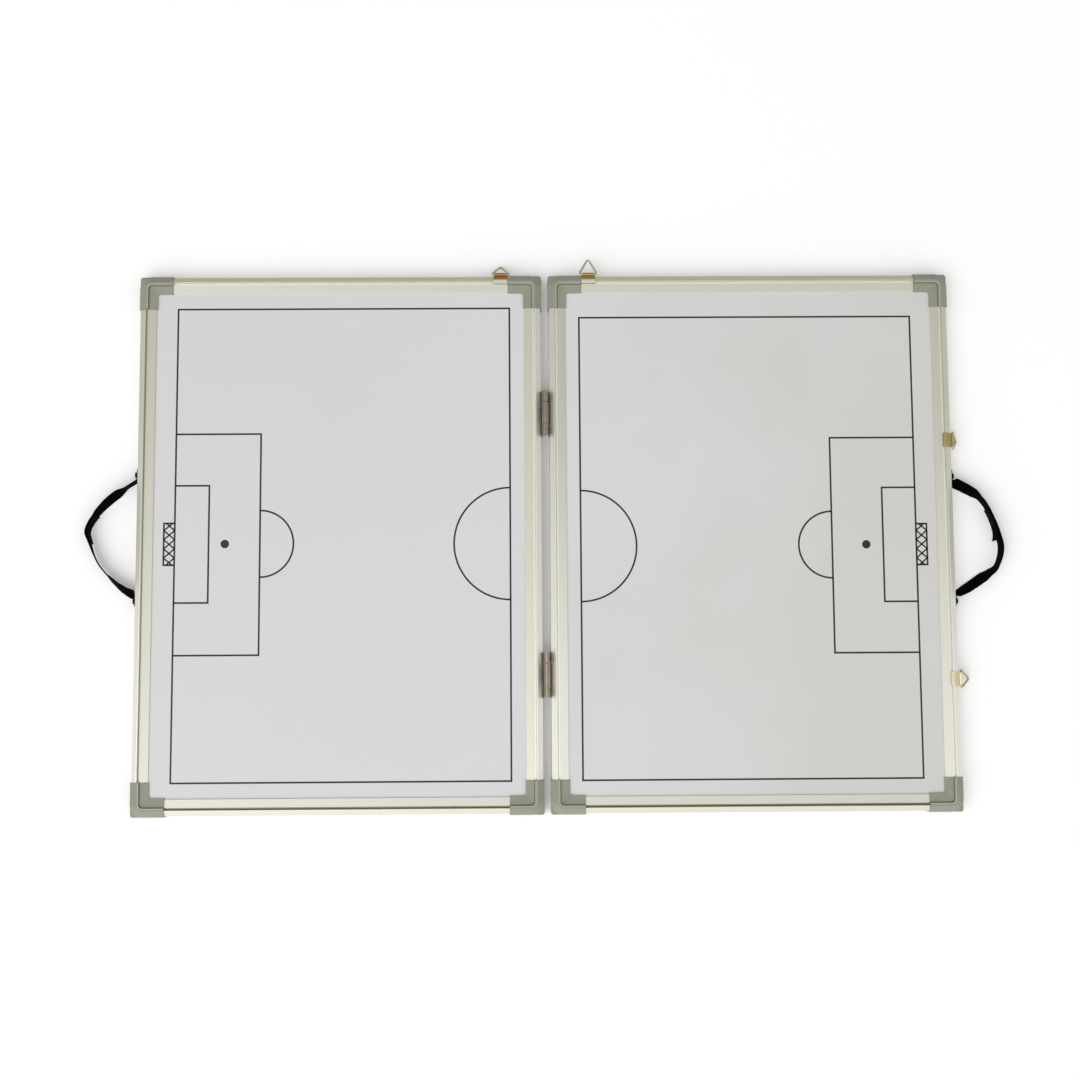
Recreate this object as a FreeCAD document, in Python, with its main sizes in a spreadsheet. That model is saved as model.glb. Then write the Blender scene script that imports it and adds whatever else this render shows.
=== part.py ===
import FreeCAD, Part
import math
import os
import Sketcher

# A folding tactics board, open and lying on its back.
# +X runs to the right, +Y to the top edge and +Z out of the playing face.
# Each panel is a sheet, core and back sheet in four rails with corner caps.

# Driving sizes in millimetres, and two angles in degrees
SIZES = {
    # Panels and rails
    "panel_width": 450,  # from the hinge side to the outer side
    "panel_height": 600,  # from the bottom side to the top side
    "ridge_height": 22,  # from the back of a rail to its ridge
    "rail_face": 18.5,  # rail seen from the front
    "slope_run": 5.7,  # outer slope, seen from the front
    "slope_rise": 4,  # ridge above the plain side
    "ridge_flat": 0.7,  # flat on the ridge
    "step_run": 1.4,  # steep inner side of the ridge, seen from the front
    "groove_width": 1.4,  # groove inside the ridge
    "groove_depth": 2.8,  # groove floor below the ridge
    "groove_wall": 0.6,  # hollow part of the rail beyond the groove
    "strip_drop": 1.8,  # inner strip beside the groove, below the ridge
    "lip_drop": 2.8,  # inner strip at its edge, below the ridge
    "lip_thickness": 1.2,  # edge of the inner strip over the sheet
    "rail_wall": 1.4,  # walls of the hollow chamber
    "side_wall": 2.4,  # wall of the chamber on the outer side
    "slot_drop": 4.1,  # side slot below the top of the plain side
    "slot_width": 1.4,  # side slot
    "slot_depth": 1.1,  # side slot
    "flange_reach": 17,  # flange behind the board, from the outer side
    "flange_thickness": 1.5,  # flange behind the board
    "edge_round": 0.3,  # rounding of the rail edges
    # Board layers
    "sheet_thickness": 0.5,  # coated steel writing sheet
    "core_thickness": 10.4,  # core board
    "back_thickness": 0.5,  # back sheet
    "board_clearance": 1.3,  # board edge to the channel wall
    # Corner caps
    "cap_leg": 36.8,  # leg of a cap from the panel corner
    "cap_proud": 1.2,  # cap beyond the rail side
    "cap_rise": 0.9,  # cap ridge above the rail ridge
    "cap_strip_rise": 0.5,  # cap strip above the rail strip
    "cap_lap": 1,  # cap beyond the rail lip, over the sheet
    "cap_ridge": 3.2,  # width of the cap ridge
    "cap_turn": 3.5,  # from the inner corner of the channel to the centre of the turned corner
    "cap_shoulder": 0.5,  # cap side above the rail side
    "cap_round": 0.7,  # rounding of the cap edges
    "cap_inner_round": 3.2,  # inner corner of the cap, over the sheet
    "cap_base_height": 16,  # square base of the cap
    "cap_base_cut": 1.8,  # cut corner of the cap base
    "tenon_length": 18,  # tenon inside a rail
    "tenon_clearance": 0.15,  # tenon to the chamber walls
    # Hinges
    "hinge_upper": 143,  # upper hinge above the middle
    "hinge_lower": 149,  # lower hinge below the middle
    "hinge_length": 50,  # hinge along its axis
    "middle_knuckle": 24,  # middle knuckle along the axis
    "knuckle_radius": 2.9,  # knuckle outside
    "knuckle_inset": 1.8,  # knuckle to the plane of the rail side
    "knuckle_gap": 0.6,  # end play between knuckles
    "pin_radius": 1.4,  # hinge pin
    "pin_clearance": 0.05,  # pin to knuckle bore
    "axis_lift": 0.7,  # hinge axis above the cap ridge
    "leaf_thickness": 1.2,  # hinge leaf
    "leaf_foot": 4,  # from the back of the rail to the foot of the leaf
    "leaf_drop": 0.5,  # plate of the leaf below the top of the plain side
    "leaf_hole_height": 8.5,  # from the back of the rail to the leaf screws
    "leaf_hole_spread": 34,  # between the two screws of a leaf
    "leaf_screw_radius": 1.25,  # shank of a leaf screw
    "leaf_head_radius": 2.4,  # head of a leaf screw
    "leaf_head_height": 1.3,  # head of a leaf screw
    "leaf_screw_reach": 2,  # leaf screw past the chamber wall
    "screw_clearance": 0.1,  # screw shank to its hole
    "recess_width": 0.7,  # cross recess in a screw head
    "recess_depth": 0.7,  # cross recess in a screw head
    # Hangers
    "top_hanger_gap": 0.4,  # top clip to the end of the cap
    "upper_hanger_gap": 23,  # upper side ring to the end of the strap
    "lower_hanger_gap": 70,  # lower side ring to the end of the strap
    "clip_width": 15.4,  # clip along the rail
    "clip_thickness": 0.8,  # sheet metal of the clip
    "clip_gap": 0.3,  # clip to the rail
    "curl_wall": 0.6,  # wall of the curl round the ring wire
    "curl_set": 0.6,  # curl out of the clip's inner face
    "curl_drop": 0.8,  # ring axis below the top of the plain side
    "curl_end_gap": 0.78,  # end of the curl to the bend of the ring
    "wire_radius": 1.2,  # ring wire
    "wire_clearance": 0.1,  # ring wire to the curl bore
    "ring_base": 21,  # ring across its base
    "ring_height": 17.5,  # ring from base to tip
    "ring_corner": 1.8,  # corner radius of the ring
    "half_droop": 45,  # degrees that the top left ring and the lower side ring hang back
    "full_droop": 63,  # degrees that the upper side ring hangs back
    # Handles
    "strap_width": 15,  # webbing
    "strap_thickness": 1.6,  # webbing
    "left_strap_upper": 76.7,  # upper screw of the left strap above the middle
    "left_strap_lower": 64.8,  # lower screw of the left strap below the middle
    "right_strap_upper": 71.2,  # upper screw of the right strap above the middle
    "right_strap_lower": 69.5,  # lower screw of the right strap below the middle
    "strap_tab": 6,  # strap beyond and before its screw
    "strap_bend": 2.8,  # bend where the strap leaves the rail
    "strap_screw_radius": 1.75,  # shank of a strap screw
    "strap_head_radius": 3.2,  # head of a strap screw
    "strap_head_height": 1.9,  # head of a strap screw
    "strap_screw_reach": 2,  # strap screw past the chamber wall
    "washer_radius": 4,  # strap washer
    "washer_thickness": 0.8,  # strap washer
}

# The share of a run that a bend of the strap takes, and a cross recess as a share of its head radius
RUN_SHARE = 0.45
RECESS_SHARE = 1.2

doc = FreeCAD.newDocument("tactics_board")
sheet = doc.addObject("Spreadsheet::Sheet", "dim")
for row, (alias, number) in enumerate(SIZES.items(), start=1):
    sheet.set("A%d" % row, alias)
    sheet.set("B%d" % row, str(number))
    sheet.setAlias("B%d" % row, alias)
doc.recompute()

# Sizes that follow from the driving ones. Heights hang from the ridge of the rails.
SIDE = "(dim.ridge_height - dim.slope_rise)"
GROOVE_FLOOR = "(dim.ridge_height - dim.groove_depth)"
STRIP = "(dim.ridge_height - dim.strip_drop)"
LIP = "(dim.ridge_height - dim.lip_drop)"
SHEET_TOP = "(%s - dim.lip_thickness)" % LIP
BOARD = "(dim.sheet_thickness + dim.core_thickness + dim.back_thickness)"
FLANGE_TOP = "(%s - %s)" % (SHEET_TOP, BOARD)
FLANGE_BACK = "(%s - dim.flange_thickness)" % FLANGE_TOP
CHAMBER_TOP = "(%s - dim.rail_wall)" % SHEET_TOP
RIDGE_IN = "(dim.slope_run + dim.ridge_flat)"
GROOVE_OUT = "(%s + dim.step_run)" % RIDGE_IN
GROOVE_IN = "(%s + dim.groove_width)" % GROOVE_OUT
BOX = "(%s + dim.groove_wall)" % GROOVE_IN
SLOT_TOP = "(%s - dim.slot_drop)" % SIDE
SLOT_LOW = "(%s - dim.slot_width)" % SLOT_TOP
CAP_TOP = "(dim.ridge_height + dim.cap_rise)"
CAP_STRIP = "(%s + dim.cap_strip_rise)" % STRIP
CAP_LIP = "(%s + dim.cap_strip_rise)" % LIP
CAP_INNER = "(dim.rail_face + dim.cap_lap)"
TURN = "(%s + dim.cap_turn)" % BOX
CAP_RIDGE_IN = "(dim.slope_run + dim.cap_ridge)"
CAP_SIDE = "(%s + dim.cap_shoulder)" % SIDE
AXIS = "(%s + dim.axis_lift)" % CAP_TOP
HALF_GAP = "(dim.knuckle_radius + dim.knuckle_inset)"
LEAF_FACE = "(%s - dim.leaf_thickness)" % HALF_GAP
LEAF_TOP = "(%s - dim.leaf_drop)" % SIDE
OUTER_SIDE = "(%s + dim.panel_width)" % HALF_GAP
PANEL_MIDDLE = "(%s + dim.panel_width / 2)" % HALF_GAP
HALF_HEIGHT = "(dim.panel_height / 2)"
LONG_RAIL = "(dim.panel_height - 2 * dim.cap_leg)"
SHORT_RAIL = "(dim.panel_width - 2 * dim.cap_leg)"
CLIP_OUT = "(dim.clip_gap + dim.clip_thickness)"
CURL_BORE = "(dim.wire_radius + dim.wire_clearance)"
CURL_RADIUS = "(%s + dim.curl_wall)" % CURL_BORE
CURL_REACH = "(dim.clip_gap + %s + dim.curl_set)" % CURL_RADIUS
CURL_HEIGHT = "(%s - dim.curl_drop)" % SIDE
HALF_RING = "(dim.ring_base / 2)"
RING_BEND = "(dim.ring_corner / tan(atan(dim.ring_height / %s) / 2))" % HALF_RING
CURL_LENGTH = "(2 * (%s - %s - dim.curl_end_gap))" % (HALF_RING, RING_BEND)
TOP_HANGER = "(%s + dim.cap_leg + dim.top_hanger_gap + dim.clip_width / 2)" % HALF_GAP
UPPER_HANGER = "(dim.right_strap_upper + dim.strap_tab + dim.upper_hanger_gap + %s)" % HALF_RING
LOWER_HANGER = "(dim.right_strap_lower + dim.strap_tab + dim.lower_hanger_gap + %s)" % HALF_RING
STRAP_HEIGHT = "(%s / 2)" % SIDE
SLOPE = "(dim.slope_rise / dim.slope_run)"
SLANT = "sqrt(1 + %s ^ 2)" % SLOPE
RING_REACH = "(%s + dim.ring_height + dim.wire_radius)" % CURL_REACH
# The rings stand out at the top edge, so the middle of the panels lies below the middle of the whole.
MIDDLE = "((dim.cap_proud - %s) / 2)" % RING_REACH

subparts = []


def mm(expression):
    return float(sheet.evalExpression(expression))


def minus(expression):
    return "-(%s)" % expression


def name_part(part, label):
    part.Label = label
    subparts.append(part)


def place(part, x, y, z, turn):
    # turn is in degrees about +Z; y is measured from the middle of the panels.
    part.Placement.Rotation = FreeCAD.Rotation(FreeCAD.Vector(0, 0, 1), turn)
    part.setExpression("Placement.Base.x", x)
    part.setExpression("Placement.Base.y", "%s + %s" % (y, MIDDLE))
    part.setExpression("Placement.Base.z", z)


def new_body(label):
    body = doc.addObject("PartDesign::Body", label)
    name_part(body, label)
    return body


def new_sketch(body, role, offset="0", along="0"):
    # offset runs along the plane's normal, along moves the sketch in its own x direction.
    plane = [feature for feature in body.Origin.OriginFeatures if feature.Role == role][0]
    sketch = body.newObject("Sketcher::SketchObject", "sketch")
    sketch.AttachmentSupport = [(plane, "")]
    sketch.MapMode = "FlatFace"
    sketch.setExpression("AttachmentOffset.Base.z", offset)
    sketch.setExpression("AttachmentOffset.Base.x", along)
    return sketch


def tie(sketch, kind, point, number, expression):
    geometry, end = point
    index = sketch.addConstraint(Sketcher.Constraint(kind, -1, 1, geometry, end, number))
    sketch.setExpression("Constraints[%d]" % index, expression)


def outline(sketch, corners):
    # A closed polygon whose corners are tied to the sizes.
    first = sketch.GeometryCount
    count = len(corners)
    points = [FreeCAD.Vector(mm(x), mm(y), 0) for x, y in corners]
    for index in range(count):
        sketch.addGeometry(Part.LineSegment(points[index], points[(index + 1) % count]), False)
    for index in range(count):
        follower = first + (index + 1) % count
        sketch.addConstraint(Sketcher.Constraint("Coincident", first + index, 2, follower, 1))
    for index, (x, y) in enumerate(corners):
        tie(sketch, "DistanceX", (first + index, 1), points[index].x, x)
        tie(sketch, "DistanceY", (first + index, 1), points[index].y, y)


def rectangle(sketch, x_low, x_high, y_low, y_high):
    outline(sketch, ((x_low, y_low), (x_high, y_low), (x_high, y_high), (x_low, y_high)))


def circle(sketch, x, y, radius):
    centre = FreeCAD.Vector(mm(x), mm(y), 0)
    index = sketch.addGeometry(Part.Circle(centre, FreeCAD.Vector(0, 0, 1), mm(radius)), False)
    tie(sketch, "DistanceX", (index, 3), centre.x, x)
    tie(sketch, "DistanceY", (index, 3), centre.y, y)
    ring = sketch.addConstraint(Sketcher.Constraint("Radius", index, mm(radius)))
    sketch.setExpression("Constraints[%d]" % ring, radius)


def pad(body, sketch, length, side="One side", reverse=False):
    feature = body.newObject("PartDesign::Pad", "pad")
    feature.Profile = sketch
    feature.SideType = side
    feature.Reversed = reverse
    feature.setExpression("Length", length)
    return feature


def pocket(body, sketch, length):
    # The cut runs to both sides of its sketch.
    feature = body.newObject("PartDesign::Pocket", "pocket")
    feature.Profile = sketch
    feature.SideType = "Symmetric"
    feature.setExpression("Length", length)
    return feature


def edge_between(shape, first, last):
    # The name of the edge whose ends lie nearest to two points.
    edges = shape.Edges

    def miss(index):
        one = edges[index].Vertexes[0].Point
        other = edges[index].Vertexes[-1].Point
        ahead = one.distanceToPoint(first) + other.distanceToPoint(last)
        back = one.distanceToPoint(last) + other.distanceToPoint(first)
        return min(ahead, back)

    return "Edge%d" % (min(range(len(edges)), key=miss) + 1)


def round_edges(body, base, radius, ends):
    # ends holds the two end points of each edge.
    doc.recompute()
    feature = body.newObject("PartDesign::Fillet", "fillet")
    feature.Base = (base, [edge_between(base.Shape, first, last) for first, last in ends])
    feature.setExpression("Radius", radius)
    return feature


# Rail section, u inwards from the outer side and height from the back.
RAIL_SECTION = (
    ("0", "0"),
    (BOX, "0"),
    (BOX, FLANGE_BACK),
    ("dim.flange_reach", FLANGE_BACK),
    ("dim.flange_reach", FLANGE_TOP),
    (BOX, FLANGE_TOP),
    (BOX, SHEET_TOP),
    ("dim.rail_face", SHEET_TOP),
    ("dim.rail_face", LIP),
    (GROOVE_IN, STRIP),
    (GROOVE_IN, GROOVE_FLOOR),
    (GROOVE_OUT, GROOVE_FLOOR),
    (RIDGE_IN, "dim.ridge_height"),
    ("dim.slope_run", "dim.ridge_height"),
    ("0", SIDE),
    ("0", SLOT_TOP),
    ("dim.slot_depth", SLOT_TOP),
    ("dim.slot_depth", SLOT_LOW),
    ("0", SLOT_LOW),
)


def rail(label, length, x, y, turn, holes=()):
    # Local x runs along the rail and local y inwards.
    body = new_body(label)
    section = new_sketch(body, "YZ_Plane")
    outline(section, RAIL_SECTION)
    rectangle(section, "dim.side_wall", BOX + " - dim.rail_wall", "dim.rail_wall", CHAMBER_TOP)
    feature = pad(body, section, length, "Symmetric")
    for along, height, radius in holes:
        drilling = new_sketch(body, "XZ_Plane")
        circle(drilling, along, height, radius)
        feature = pocket(body, drilling, "2 * (dim.side_wall + dim.screw_clearance)")
    half = mm(length) / 2
    rounded = (
        ("0", SIDE),
        ("dim.slope_run", "dim.ridge_height"),
        (RIDGE_IN, "dim.ridge_height"),
        ("dim.rail_face", LIP),
    )
    ends = [
        (FreeCAD.Vector(-half, mm(u), mm(z)), FreeCAD.Vector(half, mm(u), mm(z)))
        for u, z in rounded
    ]
    round_edges(body, feature, "dim.edge_round", ends)
    place(body, x, y, "0", turn)


# Cap section outside the channel, and the strip that laps over the sheet.
CAP_OUTSIDE = (
    (minus("dim.cap_proud"), "0"),
    (BOX, "0"),
    (BOX, CAP_STRIP),
    (CAP_RIDGE_IN, CAP_TOP),
    ("dim.slope_run", CAP_TOP),
    (minus("dim.cap_proud"), CAP_SIDE),
)
CAP_LAP = (
    (BOX, SHEET_TOP),
    (CAP_INNER, SHEET_TOP),
    (CAP_INNER, CAP_LIP),
    (BOX, CAP_STRIP),
)
CAP_SECTION = CAP_OUTSIDE[:2] + CAP_LAP + CAP_OUTSIDE[3:]


def cap(label, x, y, turn):
    # Local x and y run along the two legs from the corner of the panel.
    body = new_body(label)
    # The legs end where the corner turns, and their laps run on until they meet.
    for section, start, length in (
        (CAP_SECTION, TURN, "dim.cap_leg - " + TURN),
        (CAP_LAP, BOX, "dim.cap_turn"),
    ):
        first_leg = new_sketch(body, "YZ_Plane", start)
        outline(first_leg, section)
        pad(body, first_leg, length)
        second_leg = new_sketch(body, "XZ_Plane", minus(start))
        outline(second_leg, section)
        pad(body, second_leg, length, reverse=True)
    corner = new_sketch(body, "YZ_Plane", TURN, TURN)
    outline(corner, [("%s - %s" % (u, TURN), z) for u, z in CAP_OUTSIDE])
    turned = body.newObject("PartDesign::Revolution", "turned_corner")
    turned.Profile = corner
    turned.ReferenceAxis = (corner, ["V_Axis"])
    turned.Angle = 90
    turned.Reversed = True
    base = new_sketch(body, "XY_Plane")
    edge = minus("dim.cap_proud")
    cut = "dim.cap_base_cut - dim.cap_proud"
    outline(base, (
        (cut, edge),
        ("dim.cap_leg", edge),
        ("dim.cap_leg", BOX),
        (BOX, BOX),
        (BOX, "dim.cap_leg"),
        (edge, "dim.cap_leg"),
        (edge, cut),
    ))
    feature = pad(body, base, "dim.cap_base_height")
    ends = []
    for u, z in ((edge, CAP_SIDE), ("dim.slope_run", CAP_TOP)):
        side, height = mm(u), mm(z)
        first = FreeCAD.Vector(mm("dim.cap_leg"), side, height)
        second = FreeCAD.Vector(mm(TURN), side, height)
        third = FreeCAD.Vector(side, mm(TURN), height)
        last = FreeCAD.Vector(side, mm("dim.cap_leg"), height)
        ends += [(first, second), (second, third), (third, last)]
    feature = round_edges(body, feature, "dim.cap_round", ends)
    inner = mm(CAP_INNER)
    inner_low = FreeCAD.Vector(inner, inner, mm(SHEET_TOP))
    inner_top = FreeCAD.Vector(inner, inner, mm(CAP_LIP))
    round_edges(body, feature, "dim.cap_inner_round", [(inner_low, inner_top)])
    low = "dim.side_wall + dim.tenon_clearance"
    high = BOX + " - dim.rail_wall - dim.tenon_clearance"
    bottom = "dim.rail_wall + dim.tenon_clearance"
    top = "%s - dim.tenon_clearance" % CHAMBER_TOP
    first_tenon = new_sketch(body, "YZ_Plane", "dim.cap_leg")
    rectangle(first_tenon, low, high, bottom, top)
    pad(body, first_tenon, "dim.tenon_length")
    second_tenon = new_sketch(body, "XZ_Plane", minus("dim.cap_leg"))
    rectangle(second_tenon, low, high, bottom, top)
    pad(body, second_tenon, "dim.tenon_length", reverse=True)
    place(body, x, y, "0", turn)


def layer(label, x, bottom, thickness):
    # One layer of the board, lying in the channel of the rails.
    box = doc.addObject("Part::Box", label)
    name_part(box, label)
    inset = "(%s + dim.board_clearance)" % BOX
    box.setExpression("Length", "dim.panel_width - 2 * %s" % inset)
    box.setExpression("Width", "dim.panel_height - 2 * %s" % inset)
    box.setExpression("Height", thickness)
    place(box, "%s - dim.panel_width / 2 + %s" % (x, inset), "%s - %s" % (inset, HALF_HEIGHT), bottom, 0)


def leaf(label, y, turn, outer_knuckles):
    # Local x runs from the hinge axis to the rail and local y along the axis.
    body = new_body(label)
    plate = new_sketch(body, "XZ_Plane")
    rectangle(plate, LEAF_FACE, HALF_GAP, "dim.leaf_foot", LEAF_TOP)
    pad(body, plate, "dim.hinge_length", "Symmetric")
    end = "dim.hinge_length / 2"
    inner = "(dim.middle_knuckle / 2 + dim.knuckle_gap)"
    if outer_knuckles:
        spans = (
            (end, "%s - %s" % (end, inner)),
            (minus(inner), "%s - %s" % (end, inner)),
        )
    else:
        spans = (("dim.middle_knuckle / 2", "dim.middle_knuckle"),)
    for start, length in spans:
        # The leaf slopes in from the top of its plate to the side of its knuckle.
        # The sketch plane faces -Y, so a knuckle starts at its upper end.
        neck = new_sketch(body, "XZ_Plane", minus(start))
        outline(neck, (
            (LEAF_FACE, "dim.leaf_foot"),
            (HALF_GAP, "dim.leaf_foot"),
            (HALF_GAP, LEAF_TOP),
            ("dim.knuckle_radius", AXIS),
            ("dim.knuckle_radius - dim.leaf_thickness", AXIS),
            (LEAF_FACE, LEAF_TOP),
        ))
        pad(body, neck, length)
        barrel = new_sketch(body, "XZ_Plane", minus(start))
        circle(barrel, "0", AXIS, "dim.knuckle_radius")
        pad(body, barrel, length)
    bore = new_sketch(body, "XZ_Plane")
    circle(bore, "0", AXIS, "dim.pin_radius + dim.pin_clearance")
    pocket(body, bore, "2 * dim.hinge_length")
    for side in ("dim.leaf_hole_spread / 2", "-dim.leaf_hole_spread / 2"):
        hole = new_sketch(body, "YZ_Plane", HALF_GAP)
        circle(hole, side, "dim.leaf_hole_height", "dim.leaf_screw_radius + dim.screw_clearance")
        pocket(body, hole, "4 * dim.leaf_thickness")
    place(body, "0", y, "0", turn)


def pin(label, y):
    cylinder = doc.addObject("Part::Cylinder", label)
    name_part(cylinder, label)
    cylinder.setExpression("Radius", "dim.pin_radius")
    cylinder.setExpression("Height", "dim.hinge_length")
    place(cylinder, "0", "%s + dim.hinge_length / 2" % y, AXIS, 0)
    cylinder.Placement.Rotation = FreeCAD.Rotation(FreeCAD.Vector(1, 0, 0), 90)


def clip_height(u, offset):
    # Height of a line that lies a given distance off the outer slope.
    return "(%s + %s * (%s) + %s * (%s))" % (SIDE, SLOPE, u, SLANT, offset)


def clip_place(height, offset):
    return "((%s - %s - %s * (%s)) / %s)" % (height, SIDE, SLANT, offset, SLOPE)


def clip(label, x, y, turn):
    # Local x runs along the rail and local y inwards, as in a rail.
    body = new_body(label)
    out = minus(CLIP_OUT)
    gap = minus("dim.clip_gap")
    crown = "(dim.ridge_height + %s)" % CLIP_OUT
    under = "(dim.ridge_height + dim.clip_gap)"
    hook_in = "(%s - dim.clip_gap)" % GROOVE_IN
    hook_out = "(%s - dim.clip_thickness)" % hook_in
    hook_tip = "(%s + dim.clip_gap)" % GROOVE_FLOOR
    foot = "(%s + dim.clip_gap)" % SLOT_LOW
    foot_top = "(%s - dim.clip_gap)" % SLOT_TOP
    foot_in = "(dim.slot_depth - dim.clip_gap)"
    section = new_sketch(body, "YZ_Plane")
    outline(section, (
        (hook_out, hook_tip),
        (hook_in, hook_tip),
        (hook_in, crown),
        (clip_place(crown, CLIP_OUT), crown),
        (out, clip_height(out, CLIP_OUT)),
        (out, foot),
        (foot_in, foot),
        (foot_in, foot_top),
        (gap, foot_top),
        (gap, clip_height(gap, "dim.clip_gap")),
        (clip_place(under, "dim.clip_gap"), under),
        (hook_out, under),
    ))
    pad(body, section, "dim.clip_width", "Symmetric")
    curl = new_sketch(body, "YZ_Plane")
    circle(curl, minus(CURL_REACH), CURL_HEIGHT, CURL_RADIUS)
    pad(body, curl, CURL_LENGTH, "Symmetric")
    bore = new_sketch(body, "YZ_Plane")
    circle(bore, minus(CURL_REACH), CURL_HEIGHT, CURL_BORE)
    pocket(body, bore, "2 * dim.clip_width")
    place(body, x, y, "0", turn)


def bend_path(points, radii):
    # Straight runs joined by tangent arcs, one radius for each point between the ends.
    edges = []
    start = points[0]
    for before, corner, after, radius in zip(points, points[1:], points[2:], radii):
        into = (before - corner).normalize()
        onward = (after - corner).normalize()
        half = into.getAngle(onward) / 2
        cut = radius / math.tan(half)
        bisector = (into + onward).normalize()
        first = corner + into * cut
        last = corner + onward * cut
        middle = corner + bisector * (radius / math.sin(half) - radius)
        edges.append(Part.LineSegment(start, first).toShape())
        edges.append(Part.Arc(first, middle, last).toShape())
        start = last
    edges.append(Part.LineSegment(start, points[-1]).toShape())
    return Part.Wire(edges)


def ring(label, x, y, turn, droop):
    # A triangle of wire, flat in local xy, with its base in the curl and its tip outwards.
    half = mm(HALF_RING)
    tip = FreeCAD.Vector(0, -mm("dim.ring_height"), 0)
    middle = FreeCAD.Vector(0, 0, 0)
    right = FreeCAD.Vector(half, 0, 0)
    left = FreeCAD.Vector(-half, 0, 0)
    radius = mm("dim.ring_corner")
    path = bend_path([middle, right, tip, left, middle], [radius] * 3)
    wire = Part.Wire([Part.Circle(middle, FreeCAD.Vector(1, 0, 0), mm("dim.wire_radius")).toShape()])
    feature = doc.addObject("Part::Feature", label)
    feature.Shape = path.makePipeShell([wire], True, True)
    name_part(feature, label)
    clip_turn = FreeCAD.Rotation(FreeCAD.Vector(0, 0, 1), turn)
    hang = FreeCAD.Rotation(FreeCAD.Vector(1, 0, 0), droop)
    rail_point = FreeCAD.Vector(mm(x), mm("%s + %s" % (y, MIDDLE)), 0)
    axis_point = FreeCAD.Vector(0, -mm(CURL_REACH), mm(CURL_HEIGHT))
    feature.Placement = FreeCAD.Placement(rail_point + clip_turn.multVec(axis_point), clip_turn * hang)
    return path.Length


# The straps bow out from the rail: distance from the rail side, and place above the middle.
LEFT_BOW = ((12.8, 63.6), (34.7, 47.6), (51.2, 28.4), (58.4, 14), (46.4, -19.9), (33.5, -36), (15.6, -52.2))
RIGHT_BOW = ((12.8, 59.9), (34.2, 47.4), (46.1, 26.1), (53, 4.2), (56.4, -11.4), (50.3, -31.6), (15.5, -55.6))


def strap(prefix, side, bow):
    # side is -1 for the left handle and 1 for the right one.
    label = prefix + "_strap"
    flat = mm("dim.strap_thickness / 2")
    upper = mm("dim.%s_upper" % label)
    lower = -mm("dim.%s_lower" % label)
    tab = mm("dim.strap_tab")
    route = [(flat, upper + tab), (flat, upper - tab), *bow, (flat, lower + tab), (flat, lower - tab)]
    outer = mm(OUTER_SIDE)
    height = mm(STRAP_HEIGHT)
    points = [FreeCAD.Vector(side * (outer + reach), along + mm(MIDDLE), height) for reach, along in route]
    radii = []
    for before, corner, after in zip(points, points[1:], points[2:]):
        turn = (corner - before).getAngle(after - corner)
        run = min((corner - before).Length, (after - corner).Length)
        radii.append(RUN_SHARE * run / math.tan(turn / 2))
    radii[0] = mm("dim.strap_bend")
    radii[-1] = mm("dim.strap_bend")
    path = bend_path(points, radii)
    half_width = mm("dim.strap_width / 2")
    corners = [
        points[0] + FreeCAD.Vector(across * flat, 0, up * half_width)
        for across, up in ((-1, -1), (1, -1), (1, 1), (-1, 1), (-1, -1))
    ]
    band = path.makePipeShell([Part.makePolygon(corners)], True, False)
    for place_y in (upper, lower):
        hole = FreeCAD.Vector(side * outer, place_y + mm(MIDDLE), height)
        radius = mm("dim.strap_screw_radius + dim.screw_clearance")
        band = band.cut(Part.makeCylinder(radius, 2 * flat, hole, FreeCAD.Vector(side, 0, 0)))
    feature = doc.addObject("Part::Feature", label)
    feature.Shape = band
    name_part(feature, label)
    print(label, "length %.1f mm, bend radii" % path.Length, [round(radius, 1) for radius in radii])


def screw(seat, outward, shank_radius, reach, head_radius, head_height):
    # A pan head on its seat with a cross recess, and a shank that runs the other way.
    head = Part.makeCylinder(head_radius, head_height, seat, outward)
    shank = Part.makeCylinder(shank_radius, reach, seat, -outward)
    width = mm("dim.recess_width")
    depth = mm("dim.recess_depth")
    face = seat + outward * (head_height - depth)
    solid = head.fuse(shank)
    span = head_radius * RECESS_SHARE
    for across, up in ((span, width), (width, span)):
        low = face + FreeCAD.Vector(0, -across / 2, -up / 2)
        if outward.x < 0:
            low = low + outward * depth
        solid = solid.cut(Part.makeBox(depth, across, up, low))
    return solid


def group(label, solids):
    feature = doc.addObject("Part::Feature", label)
    feature.Shape = Part.makeCompound(solids)
    name_part(feature, label)


def leaf_screws(label, side):
    # The screws of one panel: two in each of its hinge leaves.
    outward = FreeCAD.Vector(-side, 0, 0)
    solids = []
    for hinge in ("dim.hinge_upper", "-dim.hinge_lower"):
        for spread in ("dim.leaf_hole_spread / 2", "-dim.leaf_hole_spread / 2"):
            seat_y = mm("%s + %s + %s" % (hinge, spread, MIDDLE))
            seat = FreeCAD.Vector(side * mm(LEAF_FACE), seat_y, mm("dim.leaf_hole_height"))
            solids.append(screw(
                seat, outward,
                mm("dim.leaf_screw_radius"),
                mm("dim.leaf_thickness + dim.side_wall + dim.leaf_screw_reach"),
                mm("dim.leaf_head_radius"),
                mm("dim.leaf_head_height"),
            ))
    group(label, solids)


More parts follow.
